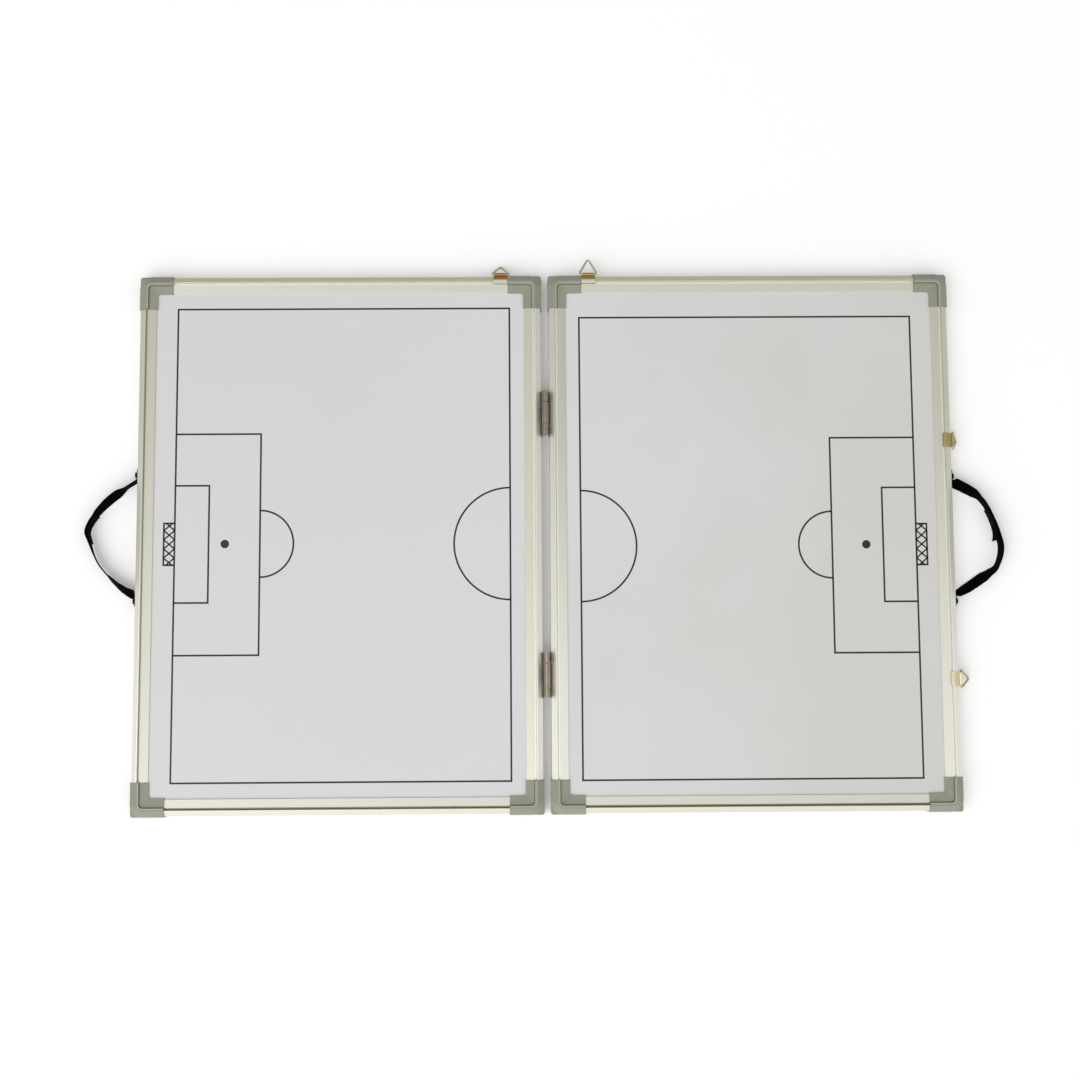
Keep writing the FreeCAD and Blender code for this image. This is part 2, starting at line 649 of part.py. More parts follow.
def strap_fixings(prefix, side):
    # A washer and a screw at each end of a strap.
    outward = FreeCAD.Vector(side, 0, 0)
    washers = []
    screws = []
    hole = mm("dim.strap_screw_radius + dim.screw_clearance")
    thick = mm("dim.washer_thickness")
    for along in ("dim.%s_strap_upper" % prefix, "-dim.%s_strap_lower" % prefix):
        face = side * mm("%s + dim.strap_thickness" % OUTER_SIDE)
        seat = FreeCAD.Vector(face, mm("%s + %s" % (along, MIDDLE)), mm(STRAP_HEIGHT))
        disc = Part.makeCylinder(mm("dim.washer_radius"), thick, seat, outward)
        washers.append(disc.cut(Part.makeCylinder(hole, thick, seat, outward)))
        screws.append(screw(
            seat + outward * thick, outward,
            mm("dim.strap_screw_radius"),
            mm("dim.washer_thickness + dim.strap_thickness + dim.side_wall + dim.strap_screw_reach"),
            mm("dim.strap_head_radius"),
            mm("dim.strap_head_height"),
        ))
    group(prefix + "_strap_washers", washers)
    group(prefix + "_strap_screws", screws)


def panel(prefix, side):
    # side is -1 for the left panel and 1 for the right one.
    sign = "-" if side < 0 else ""
    middle = sign + PANEL_MIDDLE
    inner_side = sign + HALF_GAP
    outer_side = sign + OUTER_SIDE
    # Local x of an upright rail runs to the top on a rail that faces left, and to the bottom otherwise.
    outer_turn = 90 * side
    strap_hole = "dim.strap_screw_radius + dim.screw_clearance"
    outer_sign = "" if side > 0 else "-"
    outer_holes = [
        ("%s(%s)" % (outer_sign, along), STRAP_HEIGHT, strap_hole)
        for along in ("dim.%s_strap_upper" % prefix, "-dim.%s_strap_lower" % prefix)
    ]
    hinge_sign = "-" if side > 0 else ""
    hinge_holes = [
        ("%s(%s + %s)" % (hinge_sign, hinge, spread), "dim.leaf_hole_height",
         "dim.leaf_screw_radius + dim.screw_clearance")
        for hinge in ("dim.hinge_upper", "-dim.hinge_lower")
        for spread in ("dim.leaf_hole_spread / 2", "-dim.leaf_hole_spread / 2")
    ]
    rail(prefix + "_top_rail", SHORT_RAIL, middle, HALF_HEIGHT, 180)
    rail(prefix + "_bottom_rail", SHORT_RAIL, middle, minus(HALF_HEIGHT), 0)
    rail(prefix + "_outer_rail", LONG_RAIL, outer_side, "0", outer_turn, outer_holes)
    rail(prefix + "_hinge_rail", LONG_RAIL, inner_side, "0", -outer_turn, hinge_holes)
    right_end = inner_side if side < 0 else outer_side
    left_end = outer_side if side < 0 else inner_side
    right_name = "hinge" if side < 0 else "outer"
    left_name = "outer" if side < 0 else "hinge"
    cap(prefix + "_bottom_%s_cap" % left_name, left_end, minus(HALF_HEIGHT), 0)
    cap(prefix + "_bottom_%s_cap" % right_name, right_end, minus(HALF_HEIGHT), 90)
    cap(prefix + "_top_%s_cap" % right_name, right_end, HALF_HEIGHT, 180)
    cap(prefix + "_top_%s_cap" % left_name, left_end, HALF_HEIGHT, 270)
    layer(prefix + "_back_sheet", middle, FLANGE_TOP, "dim.back_thickness")
    layer(prefix + "_core", middle, "%s + dim.back_thickness" % FLANGE_TOP, "dim.core_thickness")
    layer(prefix + "_writing_sheet", middle, "%s - dim.sheet_thickness" % SHEET_TOP, "dim.sheet_thickness")
    leaf_screws(prefix + "_hinge_screws", side)
    strap_fixings(prefix, side)


def hanger(prefix, x, y, turn, droop=0.0):
    clip(prefix + "_hanger_clip", x, y, turn)
    return ring(prefix + "_hanger_ring", x, y, turn, droop)


panel("left", -1)
panel("right", 1)

for hinge_name, hinge_y in (("upper", "dim.hinge_upper"), ("lower", "-dim.hinge_lower")):
    leaf(hinge_name + "_hinge_left_leaf", hinge_y, 180, True)
    leaf(hinge_name + "_hinge_right_leaf", hinge_y, 0, False)
    pin(hinge_name + "_hinge_pin", hinge_y)

strap("left", -1, LEFT_BOW)
strap("right", 1, RIGHT_BOW)

hanger("top_left", minus(TOP_HANGER), HALF_HEIGHT, 180, mm("dim.half_droop"))
hanger("top_right", TOP_HANGER, HALF_HEIGHT, 180)
hanger("upper_side", OUTER_SIDE, UPPER_HANGER, 90, mm("dim.full_droop"))
wire_length = hanger("lower_side", OUTER_SIDE, minus(LOWER_HANGER), 90, mm("dim.half_droop"))

doc.recompute()
failed = [item.Label for item in doc.Objects if "Invalid" in item.State or "Error" in item.State]
if failed:
    raise RuntimeError("not computed: %s" % failed)
for part in subparts:
    if part.Shape.isNull() or not part.Shape.isValid():
        raise RuntimeError("not a valid shape: " + part.Label)
    if not part.Shape.Solids:
        raise RuntimeError("no solid: " + part.Label)
    if min(solid.Volume for solid in part.Shape.Solids) <= 0:
        raise RuntimeError("turned inside out: " + part.Label)

ring_part = [part for part in subparts if part.Label == "lower_side_hanger_ring"][0]
ring_section = math.pi * mm("dim.wire_radius") ** 2
wire_volume = ring_section * wire_length
print("ring wire %.1f mm, volume share %.4f" % (wire_length, ring_part.Shape.Volume / wire_volume))

os.makedirs("parts", exist_ok=True)
for part in subparts:
    part.Shape.exportStep("parts/%s.step" % part.Label)
print(len(subparts), "sub-parts written")
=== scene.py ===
import bmesh
import bpy
import numpy as np
from mathutils import Matrix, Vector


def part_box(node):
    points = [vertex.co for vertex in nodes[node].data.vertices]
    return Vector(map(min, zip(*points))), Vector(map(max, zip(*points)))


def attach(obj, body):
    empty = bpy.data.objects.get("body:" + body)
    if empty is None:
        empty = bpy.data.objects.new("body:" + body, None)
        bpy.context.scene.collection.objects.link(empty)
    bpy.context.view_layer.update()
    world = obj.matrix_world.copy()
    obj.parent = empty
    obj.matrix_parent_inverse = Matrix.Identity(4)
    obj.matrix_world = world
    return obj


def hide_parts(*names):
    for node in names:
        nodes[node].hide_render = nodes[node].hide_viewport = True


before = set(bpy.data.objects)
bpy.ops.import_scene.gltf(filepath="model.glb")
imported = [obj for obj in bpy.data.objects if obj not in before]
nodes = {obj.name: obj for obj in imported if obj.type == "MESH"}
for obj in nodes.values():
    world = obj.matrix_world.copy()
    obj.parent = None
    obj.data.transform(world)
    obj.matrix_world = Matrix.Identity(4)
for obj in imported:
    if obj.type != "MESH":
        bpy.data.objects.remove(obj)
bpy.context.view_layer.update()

mm = 0.001
scene = bpy.context.scene
scene.view_settings.view_transform = "Standard"
print("frame loaded:", len(nodes), "nodes")


# small helpers

def linear(hexText):
    # sRGB hex to linear RGBA
    srgb = np.array([int(hexText[i:i + 2], 16) for i in (1, 3, 5)]) / 255
    flat = np.where(srgb <= 0.04045, srgb / 12.92, ((srgb + 0.055) / 1.055) ** 2.4)
    return (*flat.tolist(), 1.0)


def addNode(tree, kind, sockets=None, **settings):
    # settings are the node's own choices; sockets hold values, or the outputs that feed them
    node = tree.nodes.new("ShaderNode" + kind)
    for name, value in settings.items():
        setattr(node, name, value)
    for name, value in (sockets or {}).items():
        if isinstance(value, bpy.types.NodeSocket):
            tree.links.new(value, node.inputs[name])
        else:
            node.inputs[name].default_value = value
    return node


def newFinish(name, **sockets):
    # a material with its shader, whose plain values go straight on the shader's sockets
    material = bpy.data.materials.new(name)
    material.use_nodes = True
    tree = material.node_tree
    shader = tree.nodes["Principled BSDF"]
    for socket, value in sockets.items():
        shader.inputs[socket.replace("_", " ")].default_value = value
    return material, tree, shader


def feed(tree, node, **outputs):
    for socket, output in outputs.items():
        tree.links.new(output, node.inputs[socket.replace("_", " ")])


def dress(material, *endings):
    # puts a material on every CAD node whose name ends in one of these
    for name, node in nodes.items():
        if name.endswith(endings):
            node.data.materials.clear()
            node.data.materials.append(material)


def aimed(place, back, up):
    # a place in the room, with z turned along back and y as near to up as it can be
    back = np.array(back) / np.linalg.norm(back)
    across = np.cross(up, back)
    across /= np.linalg.norm(across)
    turned = np.eye(4)
    turned[:3, :3] = np.stack((across, np.cross(back, across), back), 1)
    turned[:3, 3] = place
    return Matrix(turned.tolist())


def meshPiece(name, grids, material, smooth=None):
    # Each grid is (points, closed path?): rows run along the path, columns go round the profile.
    # An open path gets a face at each end, and the UV map is the distance along and around in metres.
    verts, faces, uvs, start = [], [], [], 0
    for points, closedPath in grids:
        rows, columns = points.shape[:2]
        ids = start + np.arange(rows * columns).reshape(rows, columns)
        nextRow = np.roll(ids, -1, 0) if closedPath else ids[1:]
        thisRow = ids if closedPath else ids[:-1]
        quads = np.stack((thisRow, nextRow, np.roll(nextRow, -1, 1), np.roll(thisRow, -1, 1)), 2)
        faces += quads.reshape(-1, 4).tolist()
        if not closedPath:
            faces += [ids[0].tolist(), ids[-1, ::-1].tolist()]
        middle = points.mean(1)
        along = np.linalg.norm(np.diff(middle, axis=0, prepend=middle[:1]), axis=1).cumsum()
        around = np.linalg.norm(np.diff(points, axis=1, prepend=points[:, :1]), axis=2).cumsum(1)
        uvs.append(np.stack((np.broadcast_to(along[:, None], around.shape), around), 2).reshape(-1, 2))
        verts.append(points.reshape(-1, 3))
        start += rows * columns
    mesh = bpy.data.meshes.new(name)
    mesh.from_pydata(np.concatenate(verts).tolist(), [], faces)
    corners = np.empty(len(mesh.loops), np.int32)
    mesh.loops.foreach_get("vertex_index", corners)
    layer = mesh.uv_layers.new(name="run")
    layer.data.foreach_set("uv", np.concatenate(uvs)[corners].astype(np.float32).ravel())
    work = bmesh.new()
    work.from_mesh(mesh)
    bmesh.ops.remove_doubles(work, verts=work.verts, dist=1e-7)
    bmesh.ops.recalc_face_normals(work, faces=work.faces)
    work.to_mesh(mesh)
    work.free()
    if smooth is not None:
        mesh.shade_smooth()
        mesh.set_sharp_from_angle(angle=np.radians(smooth))
    mesh.materials.append(material)
    piece = bpy.data.objects.new(name, mesh)
    scene.collection.objects.link(piece)
    return piece


# camera, over the open board as the photograph was taken

cameraLook = {
    "place": (-0.0241, -0.1756, 1.6778),
    "look": (0.0104, 0.0995, -0.995),
    "up": (0.0055, 0.995, 0.0995),
    "lens": 50.0,
    "sensor": 36.0,
}
cameraData = bpy.data.cameras.new("camera")
cameraData.lens = cameraLook["lens"]
cameraData.sensor_width = cameraLook["sensor"]
camera = bpy.data.objects.new("camera", cameraData)
camera.matrix_world = aimed(cameraLook["place"], -np.array(cameraLook["look"]), cameraLook["up"])
scene.collection.objects.link(camera)
scene.camera = camera
print("camera at", cameraLook["place"])


# studio: a white floor, one large soft lamp beyond the board's lower left corner,
# and a room that darkens beyond its upper edge

studio = {
    "floorSize": 8.0,
    "floorDrop": 0.1,          # mm, so that the board's back doesn't lie in the floor
    "floorColour": "#F1F1F1",
    "floorLift": 0.18,         # extra white that only the eye and reflections see
    "roomNear": "#FDFEFF",     # overhead and towards the lower edge
    "roomOver": "#AFB0B1",     # overhead, towards the upper edge
    "roomFar": "#B3A192",      # low down beyond the upper edge
    "roomSide": "#9C9C98",     # low down at the left and right
    "overFade": (-0.06, 0.4),  # where each of these sets in, as a share of straight that way
    "farFade": (0.45, 0.85),
    "sideFade": (0.94, 0.995),
    "roomLevel": 0.96,
    "lampPlace": (-2.6, -2.9, 4.6),
    "lampSize": 5.2,
    "lampPower": 138.0,
}
floorMaterial = bpy.data.materials.new("paperSweep")
floorMaterial.use_nodes = True
tree = floorMaterial.node_tree
tree.nodes.remove(tree.nodes["Principled BSDF"])
path = addNode(tree, "LightPath").outputs
seen = addNode(tree, "Math", {0: path["Is Camera Ray"], 1: path["Is Glossy Ray"]}, operation="ADD")
rays = {0: seen.outputs[0], 1: path["Is Transmission Ray"]}
seen = addNode(tree, "Math", rays, operation="ADD", use_clamp=True)
lift = addNode(tree, "Math", {0: seen.outputs[0], 1: studio["floorLift"]}, operation="MULTIPLY")
paper = addNode(tree, "BsdfDiffuse", {"Color": linear(studio["floorColour"])})
glow = addNode(tree, "Emission", {"Strength": lift.outputs[0]})
both = addNode(tree, "AddShader", {0: paper.outputs[0], 1: glow.outputs[0]})
tree.links.new(both.outputs[0], tree.nodes["Material Output"].inputs["Surface"])
half, under = studio["floorSize"] / 2, -studio["floorDrop"] * mm
floorMesh = bpy.data.meshes.new("floor")
floorCorners = [(-half, -half, under), (half, -half, under), (half, half, under), (-half, half, under)]
floorMesh.from_pydata(floorCorners, [], [(0, 1, 2, 3)])
floorMesh.materials.append(floorMaterial)
floor = bpy.data.objects.new("floor", floorMesh)
scene.collection.objects.link(floor)

room = bpy.data.worlds.new("room")
room.use_nodes = True
scene.world = room
tree = room.node_tree
facing = addNode(tree, "SeparateXYZ", {"Vector": addNode(tree, "TexCoord").outputs["Generated"]})
aside = addNode(tree, "Math", {0: facing.outputs["X"]}, operation="ABSOLUTE")
tint = linear(studio["roomNear"])
for far, (start, end), colour in (
    (facing.outputs["Y"], studio["overFade"], "roomOver"),
    (aside.outputs[0], studio["sideFade"], "roomSide"),
    (facing.outputs["Y"], studio["farFade"], "roomFar"),
):
    span = {"Value": far, "From Min": start, "From Max": end}
    fade = addNode(tree, "MapRange", span, interpolation_type="SMOOTHSTEP")
    mixed = addNode(tree, "Mix", {0: fade.outputs[0], 6: tint, 7: linear(studio[colour])}, data_type="RGBA")
    tint = mixed.outputs[2]
feed(tree, tree.nodes["Background"], Color=tint)
tree.nodes["Background"].inputs["Strength"].default_value = studio["roomLevel"]

lampData = bpy.data.lights.new("softbox", "AREA")
lampData.size = studio["lampSize"]
lampData.energy = studio["lampPower"]
lamp = bpy.data.objects.new("softbox", lampData)
lamp.matrix_world = aimed(studio["lampPlace"], studio["lampPlace"], (0, 0, 1))
scene.collection.objects.link(lamp)
print("studio set")


# finishes of the CAD nodes

# the panels: middle line in y, distance of a panel's middle from x = 0, and half its width and height
panelMiddle = sum(corner.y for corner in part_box("left_outer_rail")) / 2
panelSide = -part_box("left_outer_rail")[0].x, -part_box("left_hinge_rail")[1].x
panelAside = sum(panelSide) / 2
panelHeight = 600.0
panelHalf = ((panelSide[0] - panelSide[1]) / 2, panelHeight / 2 * mm)


# strip and side are the shares painted bright at the upper and the lower end, beside the sheet
# and on the outer slope, as a painted highlight; groove is the groove's painted light and shade; wall is painted shade
# on the sides that face each other at the hinges
railLightAndShade = {
    "_top_rail": {"along": "x", "strip": (0.0, 0.0), "side": (0.0, 0.0), "groove": "#FAF9F1"},
    "_bottom_rail": {"along": "x", "strip": (0.5, 0.5), "side": (0.3, 0.3), "groove": "#938971"},
    "left_outer_rail": {"along": "y", "strip": (0.0, 0.1), "side": (0.0, 1.0), "groove": "#CCC8B4"},
    "right_outer_rail": {"along": "y", "strip": (0.0, 0.4), "side": (0.0, 1.0), "groove": "#F5F4E8"},
    "left_hinge_rail": {
        "along": "y", "strip": (0.0, 0.0), "side": (0.8, 1.0), "groove": "#FAF9F1", "wall": "#9C9A8A"},
    "right_hinge_rail": {
        "along": "y", "strip": (0.0, 0.65), "side": (0.4, 0.9), "groove": "#F5F4E8", "wall": "#9C9A8A"},
}


def anodisedAluminium(name, railShading):
    # Extruded, champagne anodised aluminium: satin, with fine die lines along the rail.
    # It is painted brighter towards its lower end and on the hinge sides as a painted highlight, and its groove carries
    # painted light on some rails and painted shade on others.
    look = {
        "light": "#DFDECF", "dark": "#D2D1C0", "paintedBright": "#FAF9F1", "rough": (0.42, 0.52),
        "lineGap": 1.4, "lineLength": 400.0, "lineBump": 0.12, "lineDepth": 0.05,
        "grooveAt": 8.2, "grooveHalf": 1.2, "grooveFade": 0.36, "slopeFade": 0.5,
        "brightFrom": 150.0, "brightTo": -165.0, "sideHeight": 18.0, "sideFade": 0.8,
    }
    material, tree, shader = newFinish(name, Metallic=1.0)
    place = addNode(tree, "TexCoord").outputs["Object"]
    across = 1 / (look["lineGap"] * mm)
    along = 1 / (look["lineLength"] * mm)
    scale = (along, across, across) if railShading["along"] == "x" else (across, along, across)
    stretched = addNode(tree, "Mapping", {"Vector": place, "Scale": scale})
    # die lines are finer than this; drawn coarse enough to show
    noise = addNode(tree, "TexNoise", {"Vector": stretched.outputs[0], "Scale": 1.0, "Detail": 2.0})
    lines = noise.outputs[0]
    low, high = look["rough"]
    rough = addNode(tree, "MapRange", {"Value": lines, "To Min": low, "To Max": high})
    tone = addNode(tree, "Mix", {0: lines, 6: linear(look["dark"]), 7: linear(look["light"])}, data_type="RGBA")
    # how far a point lies off the groove, measured outwards to the panel's side
    axis = addNode(tree, "SeparateXYZ", {"Vector": place})
    if railShading["along"] == "x":
        off = addNode(tree, "Math", {0: axis.outputs["Y"], 1: panelMiddle}, operation="SUBTRACT")
        half = panelHalf[1]
    else:
        aside = addNode(tree, "Math", {0: axis.outputs["X"]}, operation="ABSOLUTE")
        off = addNode(tree, "Math", {0: aside.outputs[0], 1: panelAside}, operation="SUBTRACT")
        half = panelHalf[0]
    off = addNode(tree, "Math", {0: off.outputs[0]}, operation="ABSOLUTE")
    off = addNode(tree, "Math", {0: off.outputs[0], 1: half - look["grooveAt"] * mm}, operation="SUBTRACT")
    # the share painted bright as a highlight, from its upper to its lower value, and none of it below the slope
    reach = {
        "Value": axis.outputs["Y"],
        "From Min": panelMiddle + look["brightFrom"] * mm, "From Max": panelMiddle + look["brightTo"] * mm,
    }
    strip = addNode(tree, "MapRange", {**reach, "To Min": railShading["strip"][0], "To Max": railShading["strip"][1]})
    side = addNode(tree, "MapRange", {**reach, "To Min": railShading["side"][0], "To Max": railShading["side"][1]})
    onSlope = addNode(tree, "MapRange", {"Value": off.outputs[0], "From Max": look["slopeFade"] * mm})
    shares = {0: onSlope.outputs[0], 2: strip.outputs[0], 3: side.outputs[0]}
    paintedBright = addNode(tree, "Mix", shares, data_type="FLOAT")
    top, fade = look["sideHeight"] * mm, look["sideFade"] * mm
    front = addNode(tree, "MapRange", {"Value": axis.outputs["Z"], "From Min": top - fade, "From Max": top})
    paintedBright = addNode(tree, "Math", {0: paintedBright.outputs[0], 1: front.outputs[0]}, operation="MULTIPLY")
    tones = {0: paintedBright.outputs[0], 6: tone.outputs[2], 7: linear(look["paintedBright"])}
    tone = addNode(tree, "Mix", tones, data_type="RGBA")
    # below the front, the hinge rails' facing sides take a darker tone: painted shade in the gap between the panels
    if "wall" in railShading:
        tones = {0: front.outputs[0], 6: linear(railShading["wall"]), 7: tone.outputs[2]}
        tone = addNode(tree, "Mix", tones, data_type="RGBA")
    # the groove's tone is painted light on the top, right outer and hinge rails, and painted shade on the bottom and
    # left outer rails
    off = addNode(tree, "Math", {0: off.outputs[0]}, operation="ABSOLUTE")
    wide, fade = look["grooveHalf"] * mm, look["grooveFade"] * mm
    edge = {"Value": off.outputs[0], "From Min": wide - fade, "From Max": wide, "To Min": 1.0, "To Max": 0.0}
    groove = addNode(tree, "MapRange", edge)
    tones = {0: groove.outputs[0], 6: tone.outputs[2], 7: linear(railShading["groove"])}
    tone = addNode(tree, "Mix", tones, data_type="RGBA")
    ridges = {"Height": lines, "Strength": look["lineBump"], "Distance": look["lineDepth"] * mm}
    bump = addNode(tree, "Bump", ridges)
    feed(tree, shader, Base_Color=tone.outputs[2], Roughness=rough.outputs[0], Normal=bump.outputs[0])
    return material


def mouldedAbs():
    # Injection moulded ABS: grey-olive, with a faint spark-eroded grain and a dull gloss.
    # Pale lines on the ridge's crest and the front's outer edge are painted highlights; dark lines at the foot of the
    # ridge, in the mitre and against the rails are painted shade.
    # Each mark is a line: what its distance is measured as, how far, half its width, its colour and strength.
    look = {
        "light": "#989A8A", "dark": "#8A8B7B", "cloud": 18.0,
        "grain": 0.9, "grainBump": 0.2, "grainDepth": 0.08,
        "turn": 13.3, "stripStart": 10.3, "frontHeight": 17.5, "frontFade": 0.4,
        "shadeAndHighlightLines": [
            ("inFromSide", 8.3, 0.75, "#B9BAAC", 0.85),
            ("inFromSide", 9.75, 0.75, "#56554A", 0.8),
            ("inFromSide", -0.95, 0.45, "#B9BAAC", 0.6),
            ("fromCorner", 36.75, 0.7, "#56554A", 0.5),
            ("offMitre", 0.0, 0.5, "#56554A", 0.45),
        ],
    }
    material, tree, shader = newFinish("mouldedAbs", IOR=1.54, Roughness=0.42)
    place = addNode(tree, "TexCoord").outputs["Object"]
    cloud = addNode(tree, "TexNoise", {"Vector": place, "Scale": 1 / (look["cloud"] * mm), "Detail": 3.0})
    grain = addNode(tree, "TexNoise", {"Vector": place, "Scale": 1 / (look["grain"] * mm), "Detail": 2.0})
    tones = {0: cloud.outputs[0], 6: linear(look["dark"]), 7: linear(look["light"])}
    tone = addNode(tree, "Mix", tones, data_type="RGBA")
    # how far a point lies inside the panel's left and right sides, and inside its top and bottom
    axis = addNode(tree, "SeparateXYZ", {"Vector": place})
    aside = addNode(tree, "Math", {0: axis.outputs["X"]}, operation="ABSOLUTE")
    flat = addNode(tree, "CombineXYZ", {"X": aside.outputs[0], "Y": axis.outputs["Y"]})
    middle = (panelAside, panelMiddle, 0)
    off = addNode(tree, "VectorMath", {0: flat.outputs[0], 1: middle}, operation="SUBTRACT")
    off = addNode(tree, "VectorMath", {0: off.outputs[0]}, operation="ABSOLUTE")
    inside = addNode(tree, "VectorMath", {0: (*panelHalf, 0), 1: off.outputs[0]}, operation="SUBTRACT")
    within = addNode(tree, "SeparateXYZ", {"Vector": inside.outputs[0]}).outputs
    # at the corner the distance from the side turns about the corner's own centre
    turn = look["turn"] * mm
    corner = addNode(tree, "VectorMath", {0: (turn, turn, 0), 1: inside.outputs[0]}, operation="SUBTRACT")
    corner = addNode(tree, "VectorMath", {0: corner.outputs[0], 1: (0, 0, 0)}, operation="MAXIMUM")
    reach = addNode(tree, "VectorMath", {0: corner.outputs[0]}, operation="LENGTH")
    inFromSide = addNode(tree, "Math", {0: turn, 1: reach.outputs["Value"]}, operation="SUBTRACT")
    fromCorner = addNode(tree, "Math", {0: within["X"], 1: within["Y"]}, operation="MAXIMUM")
    # the mitre runs only over the strip
    nearer = addNode(tree, "Math", {0: within["X"], 1: within["Y"]}, operation="MINIMUM")
    offStrip = addNode(tree, "Math", {0: look["stripStart"] * mm, 1: nearer.outputs[0]}, operation="SUBTRACT")
    offMitre = addNode(tree, "Math", {0: within["X"], 1: within["Y"]}, operation="SUBTRACT")
    offMitre = addNode(tree, "Math", {0: offMitre.outputs[0]}, operation="ABSOLUTE")
    offMitre = addNode(tree, "Math", {0: offMitre.outputs[0], 1: offStrip.outputs[0]}, operation="MAXIMUM")
    fields = {"inFromSide": inFromSide, "fromCorner": fromCorner, "offMitre": offMitre}
    top, fade = look["frontHeight"] * mm, look["frontFade"] * mm
    front = addNode(tree, "MapRange", {"Value": axis.outputs["Z"], "From Min": top - fade, "From Max": top})
    # each line mixes in a painted highlight where it is pale and painted shade where it is dark, on the front only
    for field, far, halfWidth, colour, strength in look["shadeAndHighlightLines"]:
        off = addNode(tree, "Math", {0: fields[field].outputs[0], 1: far * mm}, operation="SUBTRACT")
        off = addNode(tree, "Math", {0: off.outputs[0]}, operation="ABSOLUTE")
        edge = {"Value": off.outputs[0], "From Max": halfWidth * mm, "To Min": strength, "To Max": 0.0}
        mark = addNode(tree, "MapRange", edge)
        share = addNode(tree, "Math", {0: mark.outputs[0], 1: front.outputs[0]}, operation="MULTIPLY")
        tones = {0: share.outputs[0], 6: tone.outputs[2], 7: linear(colour)}
        tone = addNode(tree, "Mix", tones, data_type="RGBA")
    grains = {"Height": grain.outputs[0], "Strength": look["grainBump"], "Distance": look["grainDepth"] * mm}
    bump = addNode(tree, "Bump", grains)
    feed(tree, shader, Base_Color=tone.outputs[2], Normal=bump.outputs[0])
    return material


# the lacquer goes from its near to its far tone over the reach in x: a painted reflection, darker and greyer towards
# the sheet's outer side, mostly on the right sheet
lacquers = {
    "lacqueredSteelLeft": {
        "on": "left_writing_sheet", "near": "#D9D9DA", "far": "#D7D7D8", "reach": (-20, -440)},
    "lacqueredSteelRight": {
        "on": "right_writing_sheet", "near": "#D9D9D9", "far": "#D2D1CD", "reach": (60, 400)},
}


def lacqueredSteel(name, lacquer):
    # White lacquered steel for dry-wipe pens: smooth and glossy, with soft clouds that carry its painted reflection.
    look = {
        "cloud": 240.0, "cloudRange": (0.3, 0.7), "clouding": 0.5, "rough": (0.16, 0.26),
        "ripple": 9.0, "rippleBump": 0.04, "rippleDepth": 0.1,
    }
    material, tree, shader = newFinish(name, IOR=1.5)
    place = addNode(tree, "TexCoord").outputs["Object"]
    clouds = {"Vector": place, "Scale": 1 / (look["cloud"] * mm), "Detail": 3.0, "Roughness": 0.6}
    cloud = addNode(tree, "TexNoise", clouds).outputs[0]
    side = addNode(tree, "SeparateXYZ", {"Vector": place})
    # the near-to-far share, broken up by the clouds, lays the painted reflection over the sheet
    start, end = lacquer["reach"]
    span = {"Value": side.outputs["X"], "From Min": start * mm, "From Max": end * mm}
    share = addNode(tree, "MapRange", span)
    low, high = look["cloudRange"]
    spread = {"From Min": low, "From Max": high, "To Min": -look["clouding"], "To Max": look["clouding"]}
    patch = addNode(tree, "MapRange", {"Value": cloud, **spread})
    mixed = addNode(tree, "Math", {0: share.outputs[0], 1: patch.outputs[0]}, operation="ADD", use_clamp=True)
    tones = {0: mixed.outputs[0], 6: linear(lacquer["near"]), 7: linear(lacquer["far"])}
    tone = addNode(tree, "Mix", tones, data_type="RGBA")
    low, high = look["rough"]
    rough = addNode(tree, "MapRange", {"Value": cloud, "To Min": low, "To Max": high})
    ripple = addNode(tree, "TexNoise", {"Vector": place, "Scale": 1 / (look["ripple"] * mm), "Detail": 1.0})
    ripples = {"Height": ripple.outputs[0], "Strength": look["rippleBump"], "Distance": look["rippleDepth"] * mm}
    bump = addNode(tree, "Bump", ripples)
    feed(tree, shader, Base_Color=tone.outputs[2], Roughness=rough.outputs[0], Normal=bump.outputs[0])
    return material


